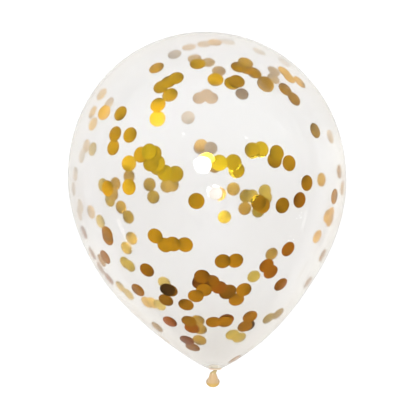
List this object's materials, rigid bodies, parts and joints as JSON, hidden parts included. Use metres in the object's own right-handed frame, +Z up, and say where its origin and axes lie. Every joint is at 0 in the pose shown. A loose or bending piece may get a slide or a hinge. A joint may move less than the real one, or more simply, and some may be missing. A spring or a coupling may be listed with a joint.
{
  "type": "confetti balloon",
  "caption": "Clear inflated latex party balloon, tied in its own neck, lying on a small flat spot, with round gold foil confetti sealed inside.",
  "frame": {"origin": "middle of the flat spot that the balloon lies on, straight below the middle of its widest girth", "axes": "+Y along the balloon towards its crown, -Y towards the knot and lip, +Z up from the floor it lies on"},
  "size_m": [0.28, 0.358, 0.2772],
  "materials": {
    "latex_film": "clear stretched latex film, glossy and slightly milky, amber where it is unstretched",
    "gold_foil": "thin metallised plastic film, mirror-like warm gold"
  },
  "bodies": {
    "root": {"balloon": "latex_film"}
  },
  "joints": []
}
